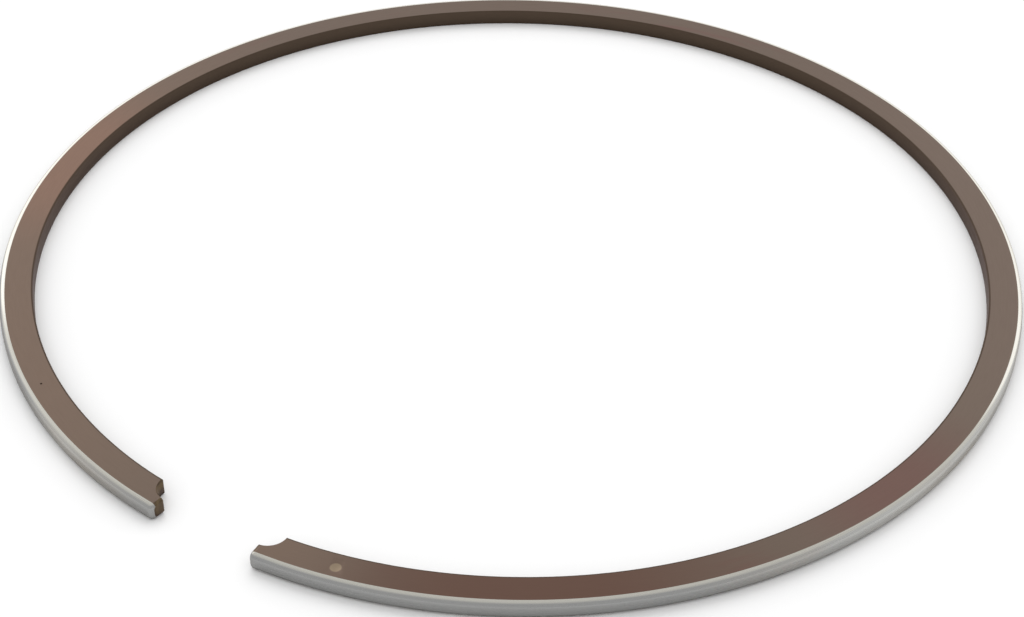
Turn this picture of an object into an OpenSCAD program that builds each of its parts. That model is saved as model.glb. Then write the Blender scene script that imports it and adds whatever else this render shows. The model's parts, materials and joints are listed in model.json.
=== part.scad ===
// Piston ring of a two-stroke engine, drawn free, as it lies when nothing closes it.
// It is one piece of steel: two flat sides, a crowned running face with rounded edges,
// and at the inner corner of each end a notch for the pin that keeps the ring from turning.
// Z is the ring's axis, the lower side lies on Z = 0 and the gap points to -Y.

/* [Section] */
// Bore of the cylinder, which is the ring's outer diameter when it is closed
bore_d = 70; // [54:0.5:96]
// Height between the two flat sides
ring_h = 1.2; // [0.8:0.05:2]
// Radial wall, from the inner wall to the crown of the running face
ring_wall = 2.35; // [1.8:0.05:3.6]
// How far the middle of the running face stands proud of a straight face
crown = 0.03; // [0.005:0.005:0.05]
// Radius of the two outer edges
outer_edge_r = 0.35; // [0.05:0.01:0.38]
// Radius of the two inner edges
inner_edge_r = 0.1; // [0.03:0.01:0.3]

/* [Gap and ends] */
// Gap between the ends when the ring is free
free_gap = 7.5; // [3:0.25:14]
// Gap between the ends when the ring is closed in its bore
closed_gap = 0.35; // [0.15:0.05:0.8]
// Radius of the pin notch at the inner corner of each end
notch_r = 1.25; // [0.6:0.05:1.5]
// Radius of the upright outer corner of each end
end_corner_r = 0.3; // [0.05:0.01:0.4]

/* [Top mark] */
// Diameter of the punched dot that marks the upper side
mark_d = 0.8; // [0.4:0.05:1.2]
// Depth of the dot
mark_depth = 0.06; // [0.02:0.01:0.15]
// Distance of the dot from the end on its side of the gap, along the ring
mark_from_end = 5.2; // [3:0.1:12]

/* [Hidden] */
$fn = 96;

steel_colour = "#75604f";

// Overshoot of each cutter past the face that it cuts
cut_over = 1;

// Lengths that place the arcs are rounded to a micron, so that the arcs meet face to face
function to_micron(length) = round(length * 1000) / 1000;

// Line halfway through the wall, which keeps its length as the ring opens
neutral_r = (bore_d - ring_wall) / 2;
closed_half = asin(closed_gap / bore_d);

// A ring that presses evenly on its bore springs open most at the back and least at its ends.
// It is drawn as three arcs in tangents: half a turn round the back, and one to each end.
// Each arc's bend, as a share of the closed bend, is 1 - ease * share.
back_share = 1 + 2 / PI;
front_share = 1 - 2 / PI;
function back_r_at(ease) = to_micron(neutral_r / (1 - ease * back_share));
function front_r_at(ease) = to_micron(neutral_r / (1 - ease * front_share));
function front_turn_at(ease) =
    ((180 - closed_half) * neutral_r - 90 * back_r_at(ease)) / front_r_at(ease);
function gap_at(ease) =
    2 * (back_r_at(ease) - front_r_at(ease))
    + 2 * (front_r_at(ease) + ring_wall / 2) * cos(front_turn_at(ease));

// The ease that opens the ring to its free gap, from a first guess put in proportion twice
opening = free_gap - closed_gap;
function closer(ease) = ease * opening / (gap_at(ease) - closed_gap);
free_ease = closer(closer(opening / (3 * PI * neutral_r)));
back_r = back_r_at(free_ease);
front_r = front_r_at(free_ease);
front_turn = front_turn_at(free_ease);

// The origin is halfway between the back of the ring and its ends
outer = ring_wall / 2;
centre_y = (back_r + outer - (front_r + outer) * sin(front_turn)) / 2;

// Crown: an arc over the full height, centred inwards of the running face
crown_r = ring_h * ring_h / (8 * crown) + crown / 2;
crown_centre = outer - crown_r;
// Outer edge: an arc that touches the flat side and the crown
edge_z = ring_h / 2 - outer_edge_r;
edge_x = crown_centre + sqrt(pow(crown_r - outer_edge_r, 2) - edge_z * edge_z);
crown_touch = crown_r / (crown_r - outer_edge_r);
touch_x = crown_centre + (edge_x - crown_centre) * crown_touch;
touch_z = edge_z * crown_touch;

// End corner: an arc that runs into both of its faces a little short of a tangent
corner_meets_at = 10;
corner_in = end_corner_r * cos(corner_meets_at);

// Sphere that punches the dot
mark_r = (mark_d * mark_d / 4 + mark_depth * mark_depth) / (2 * mark_depth);
mark_turn = mark_from_end / front_r * 180 / PI;

// Section of the ring about its neutral line: X outwards, Y along the ring's axis
module section() {
    difference() {
        intersection() {
            square([ring_wall, ring_h], center = true);
            translate([crown_centre, 0]) circle(r = crown_r);
        }
        for (side = [0, 1]) mirror([0, side]) {
            outer_edge_cut();
            inner_edge_cut();
        }
    }
}

module outer_edge_cut() {
    difference() {
        polygon([
            [edge_x, edge_z],
            [touch_x, touch_z],
            [touch_x + cut_over, touch_z],
            [touch_x + cut_over, ring_h / 2 + cut_over],
            [edge_x, ring_h / 2 + cut_over],
        ]);
        translate([edge_x, edge_z]) circle(r = outer_edge_r);
    }
}

module inner_edge_cut() {
    difference() {
        translate([-outer - cut_over, ring_h / 2 - inner_edge_r])
            square([cut_over + inner_edge_r, inner_edge_r + cut_over]);
        translate([inner_edge_r - outer, ring_h / 2 - inner_edge_r])
            circle(r = inner_edge_r);
    }
}

module ring_arc(radius, turn) {
    rotate_extrude(angle = turn) translate([radius, 0]) section();
}

// Frame of the front arc on the -X side, with its start along +X
module front_frame() {
    translate([front_r - back_r, 0]) rotate(180) children();
}

// Frame on the front arc, so far back from its end: X outwards, Y towards the gap
module from_end(turn, out) {
    front_frame() rotate(front_turn - turn) translate([front_r + out, 0]) children();
}

module free_ring() {
    ring_arc(back_r, 180);
    for (side = [0, 1]) mirror([side, 0]) front_frame() ring_arc(front_r, front_turn);
}

module pin_notch() {
    from_end(0, -outer) cylinder(r = notch_r, h = ring_h + 2 * cut_over, center = true);
}

module end_corner_cut() {
    from_end(0, outer) translate([-corner_in, -corner_in, -ring_h / 2 - cut_over])
        difference() {
            cube([corner_in + cut_over, corner_in + cut_over, ring_h + 2 * cut_over]);
            cylinder(r = end_corner_r, h = ring_h + 2 * cut_over);
        }
}

module top_mark() {
    from_end(mark_turn, 0) translate([0, 0, ring_h / 2 - mark_depth + mark_r]) sphere(r = mark_r);
}

module piston_ring() {
    color(steel_colour)
        translate([0, -centre_y, ring_h / 2])
            difference() {
                free_ring();
                for (side = [0, 1]) mirror([side, 0]) {
                    pin_notch();
                    end_corner_cut();
                }
                mirror([1, 0]) top_mark();
            }
}

piston_ring();
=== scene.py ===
# Finish, floor, light and camera for a piston ring that lies free on a white table.
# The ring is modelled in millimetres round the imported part's own arcs and scaled to metres at the end.
import json
import math
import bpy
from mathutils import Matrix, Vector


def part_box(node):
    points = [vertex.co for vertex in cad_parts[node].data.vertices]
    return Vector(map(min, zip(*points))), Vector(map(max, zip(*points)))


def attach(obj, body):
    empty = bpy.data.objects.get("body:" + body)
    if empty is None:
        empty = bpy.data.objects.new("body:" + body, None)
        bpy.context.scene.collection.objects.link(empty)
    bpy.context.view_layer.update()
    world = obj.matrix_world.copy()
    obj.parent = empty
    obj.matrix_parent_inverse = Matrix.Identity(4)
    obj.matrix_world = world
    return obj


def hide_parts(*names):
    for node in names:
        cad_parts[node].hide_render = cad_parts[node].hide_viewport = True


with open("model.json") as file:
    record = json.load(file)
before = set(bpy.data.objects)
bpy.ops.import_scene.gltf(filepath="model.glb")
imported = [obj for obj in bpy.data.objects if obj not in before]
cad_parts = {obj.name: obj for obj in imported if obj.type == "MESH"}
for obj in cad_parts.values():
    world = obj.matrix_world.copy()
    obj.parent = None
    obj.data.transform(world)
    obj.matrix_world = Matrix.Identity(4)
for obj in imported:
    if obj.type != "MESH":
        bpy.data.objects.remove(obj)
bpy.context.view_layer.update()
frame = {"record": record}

from types import SimpleNamespace

import bmesh
import bpy
from bpy.props import FloatProperty, FloatVectorProperty, PointerProperty
from mathutils import Matrix, Vector

bl_info = {
    "name": "Piston ring",
    "version": (1, 0, 0),
    "blender": (4, 5, 0),
    "location": "View3D > Sidebar > Piston ring",
    "description": "Models a piston ring lying free and sets it on a lit table",
    "category": "Object",
}

NODE = "piston_ring"
BODY = "root"
MM = 0.001
UP = Vector((0, 0, 1))

# Materials of the ring, in the order of its slots
STEEL, PLATING, CUT = range(3)

# Fineness of the mesh, with lengths in millimetres
STEP_ALONG = 0.4
INNER_EDGE_SEGMENTS = 4
OUTER_EDGE_SEGMENTS = 10
CROWN_CUTS = 5
CORNER_SEGMENTS = 8
NOTCH_SEGMENTS = 96
DOT_SEGMENTS = 64
SAME_PLACE = 1e-3
# Faces whose normal rises less than this are not flat sides
UPRIGHT = 0.95
# Length of the cut faces at each end, as a share of the notch radius
NOTCH_REACH = 1.1
# Length of the one step at each end, as a share of the notch radius
END_BLOCK = 1.3
# Overshoot of each cutter past the face that it cuts
CUT_OVER = 0.5

# Grain of each pattern in millimetres, along the ring, outwards and up
PATCH_GRAIN = (9, 1.6, 1.6)
PLATING_GRAIN = (9, 2, 2)
# Grinding and lapping leave lines of a few microns, drawn coarser so that they show
GRINDING_GRAIN = (1.6, 0.12, 0.12)
LAPPING_GRAIN = (3, 0.1, 0.1)
CUT_GRAIN = (0.5, 0.5, 0.5)
LINE_DEPTH = 0.002
LINE_STRENGTH = 0.08
NOISE_DETAIL = 2.0
# Values of the fine lines between which the roughness changes, and the roughness of each finish
LINE_VALUES = (0.3, 0.7)
STEEL_ROUGHNESS = (0.38, 0.46)
CUT_ROUGHNESS = (0.42, 0.5)
PLATING_ROUGHNESS = (0.24, 0.3)
# What is left of each finish's glancing reflection, which oxide and lapping dull
STEEL_EDGE_TINT = (0.85, 0.78, 0.78)
PLATING_EDGE_TINT = (0.66, 0.64, 0.62)

# Places on the ring, in millimetres: how far along it from the right-hand end, and the distances from there
# at which each starts and is full
RED_BROWN_PLACE = (17, 19, 3)
MAUVE_PLACE = (42, 10, 1)
PALE_PLACE = (70, 34, 12)
WARM_PLACE = (182, 40, 16)
WARM_END_PLACE = (0, 9, 1)
ROSY_PLACE = (170, 13, 3)
SPECK_PLACE = (197.6, 0.1, 0.06)
# Places of painted shade on the running face, near the right-hand end and on the left
PAINTED_SHADE_RIGHT_END_PLACE = (10, 34, 14)
PAINTED_SHADE_LEFT_PLACE = (192, 12, 4)
PAINTED_SHADE_LEFT_END_PLACE = (215, 16, 0)
# Share of the dot's radius at which its tone is full
DOT_CORE = 0.75
# The tint runs out onto the plated edge: where on the ring it runs furthest, how far out, over what width
# it fades, and how much less far it runs for each millimetre along the ring from there
TINT_FURTHEST_AT = 64
TINT_OUT_TO = 0.86
TINT_FADE = 0.03
TINT_FALL = 0.0028
# The plating carries a painted highlight round the back: its middle, how far down it reaches there, over
# what height it fades, and how much less far down it reaches for each millimetre along the ring from there
PAINTED_HIGHLIGHT_MIDDLE = 121
PAINTED_HIGHLIGHT_DOWN_TO = 0.12
PAINTED_HIGHLIGHT_FADE = 0.08
PAINTED_HIGHLIGHT_RISE = 0.015
# Heights at which the painted highlight along the running face's upper edge and the painted shade
# along its foot start and are full
PAINTED_EDGE_HIGHLIGHT = (1.1, 1.19)
PAINTED_FOOT_SHADE = (0.16, 0.08)
# Values of the cloudy patterns between which the patches of each tint fade in
MAUVE_PATCHES = (0.55, 0.8)
WARM_PATCHES = (0.4, 0.65)
OXIDE_PATCHES = (0.4, 0.7)
# Where the oxide of the inner wall starts and is full, as shares of the inner edge radius
OXIDE_REACH = (1.6, 0.8)

# Round table just under the ring, and the nearest that the camera sees, in metres
TABLE_R = 2.0
TABLE_SEGMENTS = 64
TABLE_Z = -0.01 * MM
CLIP_START = 0.001
# Cosines of the angles from each bright side at which its glow starts and is full
GLOW_REACH = (0.75, 0.98)

# Sockets of the Mix node when it mixes colours
MIX_A, MIX_B, MIX_RESULT = 6, 7, 2


def linear(hex_colour):
    """Linear colour of an sRGB hex value."""
    channels = [int(hex_colour[i : i + 2], 16) / 255 for i in (1, 3, 5)]
    return [c / 12.92 if c <= 0.04045 else ((c + 0.055) / 1.055) ** 2.4 for c in channels]


def length(name, description, default_mm):
    """Property for a length, given in millimetres."""
    return FloatProperty(
        name=name,
        description=description,
        default=default_mm * MM,
        min=0,
        precision=5,
        subtype="DISTANCE",
        unit="LENGTH",
    )


def angle(name, description, degrees):
    """Property for an angle, given in degrees."""
    return FloatProperty(
        name=name,
        description=description,
        default=math.radians(degrees),
        subtype="ANGLE",
        unit="ROTATION",
    )


def colour(name, description, hex_colour):
    """Property for a colour, given as an sRGB hex value."""
    return FloatVectorProperty(
        name=name,
        description=description,
        default=linear(hex_colour),
        min=0,
        max=1,
        size=3,
        subtype="COLOR",
    )


def share(name, description, default):
    """Property for a share or level."""
    return FloatProperty(name=name, description=description, default=default, min=0, subtype="FACTOR")


class RingSizes(bpy.types.PropertyGroup):
    """Sizes of the ring that its mounts do not give."""

    outer_edge_r: length("Outer edge radius", "Radius of the two edges of the running face", 0.35)
    inner_edge_r: length("Inner edge radius", "Radius of the two edges of the inner wall", 0.1)
    crown: length("Crown", "How far the middle of the running face stands proud", 0.03)
    plated_strip: length("Plated strip", "Width of the plating on each flat side", 0.42)
    end_corner_r: length("End corner radius", "Radius of the upright outer corner of each end", 0.3)
    end_edge_r: length("End edge radius", "How far the flat sides turn in at each end", 0.22)
    rim_break: length("Rim break", "Broken edge round the pin notches", 0.05)
    dot_d: length("Dot diameter", "Diameter of the punched dot on the upper side", 0.8)
    dot_depth: length("Dot depth", "Depth of the punched dot", 0.06)
    dot_from_end: length("Dot from end", "Distance of the dot from the end, along the ring", 5.2)


class RingColours(bpy.types.PropertyGroup):
    """Colours of the ring's finishes."""

    brown: colour("Brown tint", "Main tint of the flat sides", "#73665c")
    red_brown: colour("Red brown tint", "Darker tint on the right, behind the end", "#6a5349")
    pale_brown: colour("Pale brown tint", "Paler tint on the right", "#786a60")
    warm_brown: colour("Warm brown tint", "Paler tint on the left and at the ends", "#7b6a5e")
    rosy: colour("Rosy tint", "One patch on the left", "#876e60")
    mauve: colour("Mauve tint", "Faint patches on the flat sides", "#765e57")
    # Also used for the painted shade along the foot of the running face
    oxide: colour("Dark oxide", "Inner wall and inner edges, left unground", "#4d4137")
    # Also used for the painted shade along the foot of the ends and notches
    speck: colour("Speck", "Small dark speck on the upper side", "#2c201a")
    punched: colour("Punched steel", "Punched dot", "#93836f")
    cut: colour("Cut steel", "Ends and pin notches", "#635541")
    # Used only for the painted highlight along the upper rounded edge of the running face
    plating: colour("Plating", "Plating on the upper edge of the running face", "#bcbab2")
    # Painted highlight: near-white plating round the back
    bright: colour("Bright plating", "Plating round the back, which has least wear", "#e6e4dc")
    lapped: colour("Lapped plating", "Plating on the running face", "#b9b9b6")
    lapped_warm: colour("Warm lapped plating", "Warm clouds on the running face", "#b7b2aa")
    # Painted shade: darker plating on the running face near the ends and on the left
    lapped_painted_shade: colour("Dull lapped plating", "Running face near the ends and on the left", "#959594")


class StageSettings(bpy.types.PropertyGroup):
    """Floor, light and camera."""

    azimuth: angle("Azimuth", "Turn of the camera round the ring, from the -Y side", 31.9)
    elevation: angle("Elevation", "Height of the camera above the floor", 37.54)
    roll: angle("Roll", "Turn of the camera about its own line of sight", 0.42)
    aim: FloatVectorProperty(
        name="Aim",
        description="Point on the table that the camera looks at",
        default=(3.39 * MM, -5.57 * MM, 0),
        precision=5,
        subtype="TRANSLATION",
        unit="LENGTH",
    )
    distance: length("Distance", "From the camera to that point", 142.04)
    lens: FloatProperty(name="Lens", description="Focal length in mm on a 36 mm sensor", default=71.41)
    floor_tone: share("Floor tone", "How pale the table is", 0.94)
    sky: share("Sky", "Level of the light from all round", 0.9)
    left_glow: share("Left glow", "How much brighter the light is low down on the left", 0.6)
    right_glow: share("Right glow", "How much brighter the light is low down on the right", 0.4)
    side_turn: angle("Side turn", "Turn of those bright sides from straight behind", 36)
    side_rise: angle("Side rise", "Height of those bright sides above the table", 12)
    key: share("Key", "Level of the soft light from behind", 0.15)
    key_rise: angle("Key rise", "Height of the soft light above the table", 55)
    key_spread: angle("Key spread", "How wide the soft light spreads", 40)


def ring_shape():
    """The ring's arcs in millimetres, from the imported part's box and mounts."""
    mounts = {mount["name"]: mount for mount in frame["record"]["mounts"]}
    low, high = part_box(NODE)
    side = Vector(mounts["upper_side"]["pos_m"]) / MM
    bore = Vector(mounts["cylinder_bore"]["pos_m"]) / MM
    notch = Vector(mounts["pin_notch_right"]["pos_m"]) / MM
    half_wall = bore.y - side.y
    back_r = high.x / MM - half_wall
    centre_y = side.y - back_r
    # The front arc's inner radius is the one that runs through the inner corner of the end
    along_x = notch.x - (back_r - half_wall)
    along_y = notch.y - centre_y
    front_r = half_wall - (along_x**2 + along_y**2) / (2 * along_x)
    front_x = back_r - front_r
    front_turn = math.atan2(-along_y, notch.x - front_x)
    return SimpleNamespace(
        height=(high.z - low.z) / MM,
        half_wall=half_wall,
        back_r=back_r,
        front_r=front_r,
        front_x=front_x,
        centre_y=centre_y,
        front_turn=front_turn,
        length=2 * front_r * front_turn + math.pi * back_r,
        notch=notch,
        notch_r=mounts["pin_notch_right"]["dims"]["r_mm"],
    )


def place_on_ring(shape, point):
    """Distance along the ring from its right-hand end, and outwards from the middle of its wall."""
    front_length = shape.front_r * shape.front_turn
    if point.y >= shape.centre_y:
        arm = Vector((point.x, point.y - shape.centre_y))
        return front_length + shape.back_r * math.atan2(arm.y, arm.x), arm.length - shape.back_r
    arm = Vector((abs(point.x) - shape.front_x, point.y - shape.centre_y))
    to_end = shape.front_r * (shape.front_turn - math.atan2(-arm.y, arm.x))
    if point.x > 0:
        return to_end, arm.length - shape.front_r
    return shape.length - to_end, arm.length - shape.front_r


def draw_section(bm, shape, sizes):
    """Draws the section's outline, X outwards and Z up, and returns its geometry."""
    half = shape.half_wall
    top = shape.height / 2
    plated = half - sizes.plated_strip / MM
    corners = [(-half, -top), (-half, top), (plated, top), (half, top), (half, -top), (plated, -top)]
    verts = [bm.verts.new((x, 0, z)) for x, z in corners]
    bm.faces.new(verts)
    for picked, radius, segments in (
        (verts[0:2], sizes.inner_edge_r, INNER_EDGE_SEGMENTS),
        (verts[3:5], sizes.outer_edge_r, OUTER_EDGE_SEGMENTS),
    ):
        bmesh.ops.bevel(
            bm,
            geom=picked,
            offset=radius / MM,
            offset_type="OFFSET",
            segments=segments,
            profile=0.5,
            affect="VERTICES",
            material=-1,
        )
    face_edges = [e for e in bm.edges if all(v.co.x > half - SAME_PLACE for v in e.verts)]
    bmesh.ops.subdivide_edges(bm, edges=face_edges, cuts=CROWN_CUTS)
    for vert in bm.verts:
        if vert.co.x > plated + SAME_PLACE:
            vert.co.x -= sizes.crown / MM * (vert.co.z / top) ** 2
    bmesh.ops.delete(bm, geom=bm.faces[:], context="FACES_ONLY")
    return bm.verts[:] + bm.edges[:]


def sweep_ring(bm, shape, sizes):
    """Sweeps the section from the right-hand end round the back to the other end, and closes the ends."""
    section = draw_section(bm, shape, sizes)
    front = Vector((shape.front_x, shape.centre_y, 0))
    back = Vector((0, shape.centre_y, 0))
    far_front = Vector((-shape.front_x, shape.centre_y, 0))
    bmesh.ops.translate(bm, verts=bm.verts, vec=(shape.back_r, shape.centre_y, shape.height / 2))
    bmesh.ops.rotate(bm, verts=bm.verts, cent=front, matrix=Matrix.Rotation(-shape.front_turn, 3, UP))
    # The stretch behind each rounded end is one step, so that few seams run through the pin notch
    corner_turn = sizes.end_corner_r / MM / shape.front_r
    block_turn = END_BLOCK * shape.notch_r / shape.front_r
    long_turn = shape.front_turn - corner_turn - block_turn
    front_steps = round(shape.front_r * long_turn / STEP_ALONG)
    back_steps = round(shape.back_r * math.pi / STEP_ALONG)
    for centre, turn, steps in (
        (front, corner_turn, CORNER_SEGMENTS),
        (front, block_turn, 1),
        (front, long_turn, front_steps),
        (back, math.pi, back_steps),
        (far_front, long_turn, front_steps),
        (far_front, block_turn, 1),
        (far_front, corner_turn, CORNER_SEGMENTS),
    ):
        swept = bmesh.ops.spin(bm, geom=section, cent=centre, axis=UP, angle=turn, steps=steps)
        section = swept["geom_last"]
    bmesh.ops.holes_fill(bm, edges=[e for e in bm.edges if e.is_boundary], sides=0)
    bmesh.ops.recalc_face_normals(bm, faces=bm.faces)


def round_ends(bm, shape, sizes):
    """Rounds the outer corner and the flat sides of each end, by squeezing both in towards the end."""
    radius = sizes.end_corner_r / MM
    strip = sizes.plated_strip / MM
    plated_from = shape.half_wall - strip
    middle = shape.height / 2
    for vert in bm.verts:
        along, out = place_on_ring(shape, vert.co)
        from_end = min(along, shape.length - along)
        if from_end > radius - SAME_PLACE:
            continue
        side = 1 if vert.co.x > 0 else -1
        turn = math.pi / 2 * from_end / radius
        angle_at = shape.front_turn - radius * (1 - math.cos(turn)) / shape.front_r
        squeeze = 1 - radius * (1 - math.sin(turn)) / strip
        reach = shape.front_r + min(out, plated_from + (out - plated_from) * squeeze)
        vert.co.x = side * (shape.front_x + reach * math.cos(angle_at))
        vert.co.y = shape.centre_y - reach * math.sin(angle_at)
        turn_in = sizes.end_edge_r / MM * (1 - math.sin(turn)) / middle
        vert.co.z = middle + (vert.co.z - middle) * (1 - turn_in)


def add_notch_cutters(bm, shape, sizes):
    """Adds the cutters of the pin notches, which flare past the flat sides to break the rims."""
    half_segment = math.pi / NOTCH_SEGMENTS
    flare = sizes.rim_break / MM
    wide = shape.notch_r + flare + CUT_OVER
    high = shape.height + CUT_OVER
    outline = [
        (0, -CUT_OVER),
        (wide, -CUT_OVER),
        (shape.notch_r, flare),
        (shape.notch_r, shape.height - flare),
        (wide, high),
        (0, high),
    ]
    for side in (1, -1):
        place = Vector((side * shape.notch.x, shape.notch.y, 0))
        turn = side * (half_segment - shape.front_turn)
        away = Vector((math.cos(turn), math.sin(turn), 0))
        verts = [bm.verts.new(place + away * out + UP * up) for out, up in outline]
        edges = [bm.edges.new(pair) for pair in zip(verts, verts[1:])]
        bmesh.ops.spin(
            bm,
            geom=verts + edges,
            cent=place,
            axis=UP,
            angle=2 * math.pi,
            steps=NOTCH_SEGMENTS,
            use_merge=True,
        )
    bmesh.ops.remove_doubles(bm, verts=bm.verts, dist=SAME_PLACE)
    bmesh.ops.recalc_face_normals(bm, faces=bm.faces)


def add_dot_punch(bm, shape, sizes):
    """Adds the ball that punches the dot."""
    dot_r = sizes.dot_d / MM / 2
    depth = sizes.dot_depth / MM
    punch_r = (dot_r**2 + depth**2) / (2 * depth)
    dot_turn = sizes.dot_from_end / MM / shape.front_r - shape.front_turn
    middle = Vector((math.cos(dot_turn), math.sin(dot_turn), 0)) * shape.front_r
    middle += Vector((shape.front_x, shape.centre_y, shape.height - depth + punch_r))
    bmesh.ops.create_uvsphere(
        bm,
        u_segments=DOT_SEGMENTS,
        v_segments=2 * DOT_SEGMENTS,
        radius=punch_r,
        matrix=Matrix.Translation(middle),
    )


def new_object(name, bm):
    """Makes an object of a bmesh and frees the bmesh."""
    mesh = bpy.data.meshes.new(name)
    bm.to_mesh(mesh)
    bm.free()
    made = bpy.data.objects.new(name, mesh)
    bpy.context.scene.collection.objects.link(made)
    return made


def cut_away(piece, cutter):
    """Cuts one object out of another and returns the result as a bmesh. Both objects are removed."""
    cut = piece.modifiers.new("Cut", "BOOLEAN")
    cut.operation = "DIFFERENCE"
    cut.solver = "EXACT"
    cut.object = cutter
    bm = bmesh.new()
    bm.from_object(piece, bpy.context.evaluated_depsgraph_get())
    for spent in (piece, cutter):
        mesh = spent.data
        bpy.data.objects.remove(spent)
        bpy.data.meshes.remove(mesh)
    return bm


def set_finishes(bm, shape, sizes):
    """Gives each face its finish: plated outside, cut on the ends and notches, tinted elsewhere."""
    bm.normal_update()
    plated_from = shape.half_wall - sizes.plated_strip / MM
    for face in bm.faces:
        along, out = place_on_ring(shape, face.calc_center_bounds())
        at_end = min(along, shape.length - along) < NOTCH_REACH * shape.notch_r
        if out > plated_from:
            face.material_index = PLATING
        elif at_end and abs(face.normal.z) < UPRIGHT:
            face.material_index = CUT
        else:
            face.material_index = STEEL


def mark_places(mesh, shape):
    """Stores on each point how far along the ring and how far out it lies, in metres."""
    places = [place_on_ring(shape, vert.co / MM) for vert in mesh.vertices]
    for name, values in zip(("along", "out"), zip(*places)):
        attribute = mesh.attributes.new(name, "FLOAT", "POINT")
        attribute.data.foreach_set("value", [value * MM for value in values])


def add_node(tree, kind, inputs=None, **settings):
    """Adds a node with its settings, and sets or links its inputs."""
    node = tree.nodes.new(kind)
    for name, value in settings.items():
        setattr(node, name, value)
    for key, value in (inputs or {}).items():
        if isinstance(value, bpy.types.NodeSocket):
            tree.links.new(value, node.inputs[key])
        else:
            node.inputs[key].default_value = value
    return node


def new_material(name):
    """Makes a material with no nodes, and returns it with its node tree."""
    material = bpy.data.materials.new(name)
    material.use_nodes = True
    material.node_tree.nodes.clear()
    return material, material.node_tree


def ring_patterns(tree, shape, grains, places):
    """Patterns of the ring: place, distance outwards, height, clouds of each grain and spots at each place.

    Each spot is a layer for metal_finish.
    """
    along = add_node(tree, "ShaderNodeAttribute", attribute_name="along")
    out = add_node(tree, "ShaderNodeAttribute", attribute_name="out").outputs["Fac"]
    position = add_node(tree, "ShaderNodeTexCoord")
    height = add_node(tree, "ShaderNodeSeparateXYZ", {0: position.outputs["Object"]})
    place = add_node(
        tree,
        "ShaderNodeCombineXYZ",
        {"X": along.outputs["Fac"], "Y": out, "Z": height.outputs["Z"]},
    ).outputs[0]
    clouds = []
    for grain in grains:
        stretched = add_node(
            tree,
            "ShaderNodeVectorMath",
            {0: place, 1: [1 / (size * MM) for size in grain]},
            operation="MULTIPLY",
        )
        noise = add_node(
            tree,
            "ShaderNodeTexNoise",
            {"Vector": stretched.outputs[0], "Scale": 1.0, "Detail": NOISE_DETAIL},
        )
        clouds.append(noise.outputs["Fac"])
    spots = []
    for (middle, start, full), over in places:
        distance = add_node(
            tree,
            "ShaderNodeVectorMath",
            {0: place, 1: (middle * MM, 0, shape.height * MM)},
            operation="DISTANCE",
        )
        spots.append((distance.outputs["Value"], start * MM, full * MM, over))
    return SimpleNamespace(place=place, out=out, height=height.outputs["Z"], clouds=clouds, spots=spots)


def metal_finish(tree, ground, layers, lines, roughness, edge_tint):
    """Metal of a ground colour with layers over it, and fine lines in its roughness and relief.

    Each layer is a value, where it starts and where it is full, and its colour.
    """
    tint = (*ground, 1)
    for value, start, full, over in layers:
        amount = add_node(
            tree,
            "ShaderNodeMapRange",
            {"Value": value, "From Min": start, "From Max": full},
            interpolation_type="SMOOTHSTEP",
        )
        tint = add_node(
            tree,
            "ShaderNodeMix",
            {0: amount.outputs["Result"], MIX_A: tint, MIX_B: (*over, 1)},
            data_type="RGBA",
        ).outputs[MIX_RESULT]
    sheen = add_node(
        tree,
        "ShaderNodeMapRange",
        {
            "Value": lines,
            "From Min": LINE_VALUES[0],
            "From Max": LINE_VALUES[1],
            "To Min": roughness[0],
            "To Max": roughness[1],
        },
    )
    relief = add_node(
        tree,
        "ShaderNodeBump",
        {"Height": lines, "Strength": LINE_STRENGTH, "Distance": LINE_DEPTH * MM},
    )
    bsdf = add_node(
        tree,
        "ShaderNodeBsdfPrincipled",
        {
            "Base Color": tint,
            "Metallic": 1.0,
            "Roughness": sheen.outputs["Result"],
            "Specular Tint": (*edge_tint, 1),
            "Normal": relief.outputs[0],
        },
    )
    add_node(tree, "ShaderNodeOutputMaterial", {"Surface": bsdf.outputs["BSDF"]})


def heat_tinted_steel(shape, sizes, colours):
    """Spring steel, ground flat and tinted brown by heat.

    The eye gets a satin brown that drifts along the ring, and a darker inner wall that was left unground.
    """
    material, tree = new_material("heat_tinted_ground_steel")
    dot_at = sizes.dot_from_end / MM
    dot_r = sizes.dot_d / MM / 2
    places = (
        (RED_BROWN_PLACE, colours.red_brown),
        (PALE_PLACE, colours.pale_brown),
        (MAUVE_PLACE, colours.mauve),
        (WARM_PLACE, colours.warm_brown),
        (WARM_END_PLACE, colours.warm_brown),
        (ROSY_PLACE, colours.rosy),
        (SPECK_PLACE, colours.speck),
        ((dot_at, dot_r, dot_r * DOT_CORE), colours.punched),
    )
    patterns = ring_patterns(tree, shape, (PATCH_GRAIN, GRINDING_GRAIN), places)
    patches, lines = patterns.clouds
    inner_wall = shape.half_wall * MM
    oxide_from, oxide_to = (reach * sizes.inner_edge_r - inner_wall for reach in OXIDE_REACH)
    layers = [
        (patches, *MAUVE_PATCHES, colours.mauve),
        *patterns.spots,
        (patterns.out, oxide_from, oxide_to, colours.oxide),
    ]
    metal_finish(tree, colours.brown, layers, lines, STEEL_ROUGHNESS, STEEL_EDGE_TINT)
    return material


def cut_steel(shape, colours):
    """Steel of the ends and pin notches, cut before the ring was tinted.

    The eye gets a darker, olive brown with clouds of oxide, duller than the ground sides, with painted
    shade along the foot.
    """
    material, tree = new_material("cut_oxidised_steel")
    patterns = ring_patterns(tree, shape, (CUT_GRAIN, GRINDING_GRAIN), ())
    patches, lines = patterns.clouds
    layers = [
        (patches, *OXIDE_PATCHES, colours.oxide),
        # Painted shade along the foot of the ends and notches
        (patterns.height, PAINTED_FOOT_SHADE[0] * MM, PAINTED_FOOT_SHADE[1] * MM, colours.speck),
    ]
    metal_finish(tree, colours.cut, layers, lines, CUT_ROUGHNESS, STEEL_EDGE_TINT)
    return material


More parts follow.
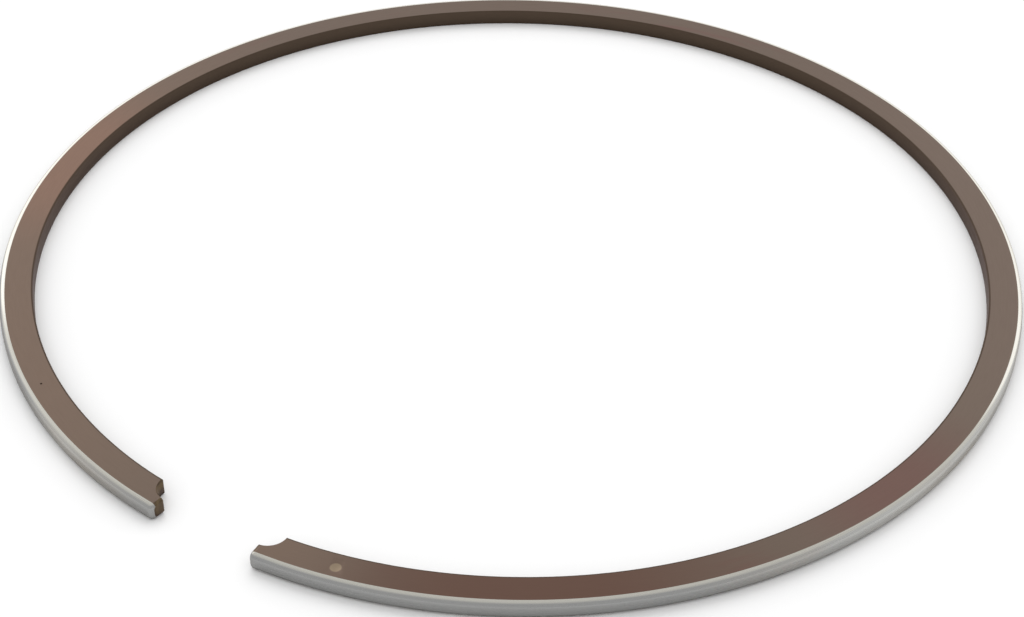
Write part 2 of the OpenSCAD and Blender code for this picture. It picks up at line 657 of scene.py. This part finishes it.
def lapped_plating(shape, colours):
    """Hard silver plating, lapped in its bore.

    The eye gets a painted highlight along the upper edge, a grey face with fine lines along the ring,
    painted shade on the face near the ends and on the left and along its foot, and a painted highlight
    round the back.
    """
    material, tree = new_material("lapped_hard_plating")
    # Painted shade on the running face near the ends and on the left
    painted_shade_places = (PAINTED_SHADE_RIGHT_END_PLACE, PAINTED_SHADE_LEFT_PLACE, PAINTED_SHADE_LEFT_END_PLACE)
    places = [(place, colours.lapped_painted_shade) for place in painted_shade_places]
    patterns = ring_patterns(tree, shape, (PLATING_GRAIN, LAPPING_GRAIN), places)
    warmth, lines = patterns.clouds
    reaches = []
    for middle, change, level in (
        (TINT_FURTHEST_AT, TINT_FALL, patterns.out),
        (PAINTED_HIGHLIGHT_MIDDLE, -PAINTED_HIGHLIGHT_RISE, patterns.height),
    ):
        distance = add_node(
            tree,
            "ShaderNodeVectorMath",
            {0: patterns.place, 1: (middle * MM, 0, shape.height * MM)},
            operation="DISTANCE",
        )
        reach = add_node(
            tree,
            "ShaderNodeMath",
            {0: distance.outputs["Value"], 1: change, 2: level},
            operation="MULTIPLY_ADD",
        )
        reaches.append(reach.outputs[0])
    tint_reach, highlight_reach = reaches
    tint = (tint_reach, TINT_OUT_TO * MM, (TINT_OUT_TO - TINT_FADE) * MM, colours.pale_brown)
    # Painted highlight on the plating round the back
    bright = (highlight_reach, PAINTED_HIGHLIGHT_DOWN_TO * MM, (PAINTED_HIGHLIGHT_DOWN_TO + PAINTED_HIGHLIGHT_FADE) * MM, colours.bright)
    # Painted highlight along the upper edge and painted shade along the foot of the running face
    bands = [
        (patterns.height, start * MM, full * MM, over)
        for (start, full), over in (
            (PAINTED_EDGE_HIGHLIGHT, colours.plating),
            (PAINTED_FOOT_SHADE, colours.oxide),
        )
    ]
    painted_edge_highlight, painted_foot_shade = bands
    warm = (warmth, *WARM_PATCHES, colours.lapped_warm)
    layers = [warm, *patterns.spots, painted_edge_highlight, bright, painted_foot_shade, tint]
    metal_finish(tree, colours.lapped, layers, lines, PLATING_ROUGHNESS, PLATING_EDGE_TINT)
    return material


class RING_OT_model_ring(bpy.types.Operator):
    """Model the ring, with its notches, dot and finishes"""

    bl_idname = "piston_ring.model_ring"
    bl_label = "Model ring"

    def execute(self, context):
        sizes = context.scene.ring_sizes
        colours = context.scene.ring_colours
        shape = ring_shape()
        body = bmesh.new()
        sweep_ring(body, shape, sizes)
        round_ends(body, shape, sizes)
        tools = bmesh.new()
        add_notch_cutters(tools, shape, sizes)
        add_dot_punch(tools, shape, sizes)
        bm = cut_away(new_object("ring_blank", body), new_object("ring_tools", tools))
        set_finishes(bm, shape, sizes)
        if not all(edge.is_manifold for edge in bm.edges):
            raise RuntimeError("the ring's mesh is not closed")
        bmesh.ops.scale(bm, verts=bm.verts, vec=(MM, MM, MM))
        for face in bm.faces:
            face.smooth = True
        ring = new_object("ring", bm)
        mark_places(ring.data, shape)
        ring.data.materials.append(heat_tinted_steel(shape, sizes, colours))
        ring.data.materials.append(lapped_plating(shape, colours))
        ring.data.materials.append(cut_steel(shape, colours))
        ring.modifiers.new("Even shading", "WEIGHTED_NORMAL")
        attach(ring, BODY)
        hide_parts(NODE)
        return {"FINISHED"}


def direction(azimuth, elevation):
    """Unit vector from the ring towards an azimuth and an elevation."""
    flat = math.cos(elevation)
    return Vector((math.sin(azimuth) * flat, -math.cos(azimuth) * flat, math.sin(elevation)))


def white_table(stage):
    """Matt white paper, which keeps the shadow."""
    material, tree = new_material("matt_white_paper")
    tone = stage.floor_tone
    matt = add_node(tree, "ShaderNodeBsdfDiffuse", {"Color": (tone, tone, tone, 1)})
    add_node(tree, "ShaderNodeOutputMaterial", {"Surface": matt.outputs[0]})
    return material


def light_world(stage):
    """White surroundings, brighter low down to the left and the right behind the ring."""
    world = bpy.data.worlds.new("white_surroundings")
    world.use_nodes = True
    tree = world.node_tree
    tree.nodes.clear()
    way = add_node(tree, "ShaderNodeTexCoord").outputs["Generated"]
    behind = stage.azimuth + math.pi
    level = stage.sky
    for turn, glow in ((stage.side_turn, stage.left_glow), (-stage.side_turn, stage.right_glow)):
        facing = add_node(
            tree,
            "ShaderNodeVectorMath",
            {0: way, 1: direction(behind + turn, stage.side_rise)},
            operation="DOT_PRODUCT",
        )
        brighter = add_node(
            tree,
            "ShaderNodeMapRange",
            {
                "Value": facing.outputs["Value"],
                "From Min": GLOW_REACH[0],
                "From Max": GLOW_REACH[1],
                "To Max": glow,
            },
            interpolation_type="SMOOTHSTEP",
        )
        level = add_node(
            tree,
            "ShaderNodeMath",
            {0: level, 1: brighter.outputs["Result"]},
            operation="ADD",
        ).outputs[0]
    sky = add_node(tree, "ShaderNodeBackground", {"Color": (1, 1, 1, 1), "Strength": level})
    add_node(tree, "ShaderNodeOutputWorld", {"Surface": sky.outputs[0]})
    return world


class RING_OT_set_stage(bpy.types.Operator):
    """Set the table, the light and the camera"""

    bl_idname = "piston_ring.set_stage"
    bl_label = "Set stage"

    def execute(self, context):
        scene = context.scene
        stage = scene.ring_stage
        bm = bmesh.new()
        bmesh.ops.create_circle(bm, cap_ends=True, segments=TABLE_SEGMENTS, radius=TABLE_R)
        bmesh.ops.translate(bm, verts=bm.verts, vec=UP * TABLE_Z)
        table = new_object("table", bm)
        table.data.materials.append(white_table(stage))
        scene.world = light_world(stage)

        soft = bpy.data.lights.new("key", "SUN")
        soft.angle = stage.key_spread
        soft.energy = stage.key * math.pi / math.sin(stage.key_rise)
        key = bpy.data.objects.new("key", soft)
        to_key = direction(stage.azimuth + math.pi, stage.key_rise)
        key.rotation_euler = (-to_key).to_track_quat("-Z", "Y").to_euler()
        key.visible_glossy = False
        scene.collection.objects.link(key)

        lens = bpy.data.cameras.new("camera")
        lens.lens = stage.lens
        lens.clip_start = CLIP_START
        camera = bpy.data.objects.new("camera", lens)
        back = direction(stage.azimuth, stage.elevation)
        upright = (-back).to_track_quat("-Z", "Y").to_matrix()
        camera.rotation_euler = (upright @ Matrix.Rotation(stage.roll, 3, UP)).to_euler()
        camera.location = stage.aim + back * stage.distance
        scene.collection.objects.link(camera)
        scene.camera = camera
        scene.view_settings.view_transform = "Standard"
        return {"FINISHED"}


class RING_PT_panel(bpy.types.Panel):
    """Lists the steps and their settings"""

    bl_idname = "RING_PT_panel"
    bl_label = "Piston ring"
    bl_space_type = "VIEW_3D"
    bl_region_type = "UI"
    bl_category = "Piston ring"

    def draw(self, context):
        scene = context.scene
        for step, groups in (
            (RING_OT_model_ring, (scene.ring_sizes, scene.ring_colours)),
            (RING_OT_set_stage, (scene.ring_stage,)),
        ):
            box = self.layout.box()
            for group in groups:
                for name in group.__annotations__:
                    box.prop(group, name)
            box.operator(step.bl_idname)


CLASSES = (
    RingSizes,
    RingColours,
    StageSettings,
    RING_OT_model_ring,
    RING_OT_set_stage,
    RING_PT_panel,
)
GROUPS = {"ring_sizes": RingSizes, "ring_colours": RingColours, "ring_stage": StageSettings}


def register():
    for made in CLASSES:
        bpy.utils.register_class(made)
    for name, group in GROUPS.items():
        setattr(bpy.types.Scene, name, PointerProperty(type=group))


def unregister():
    for name in GROUPS:
        delattr(bpy.types.Scene, name)
    for made in reversed(CLASSES):
        bpy.utils.unregister_class(made)


def main():
    register()
    bpy.ops.piston_ring.model_ring()
    bpy.ops.piston_ring.set_stage()
    bpy.context.view_layer.update()


if __name__ == "__main__":
    main()
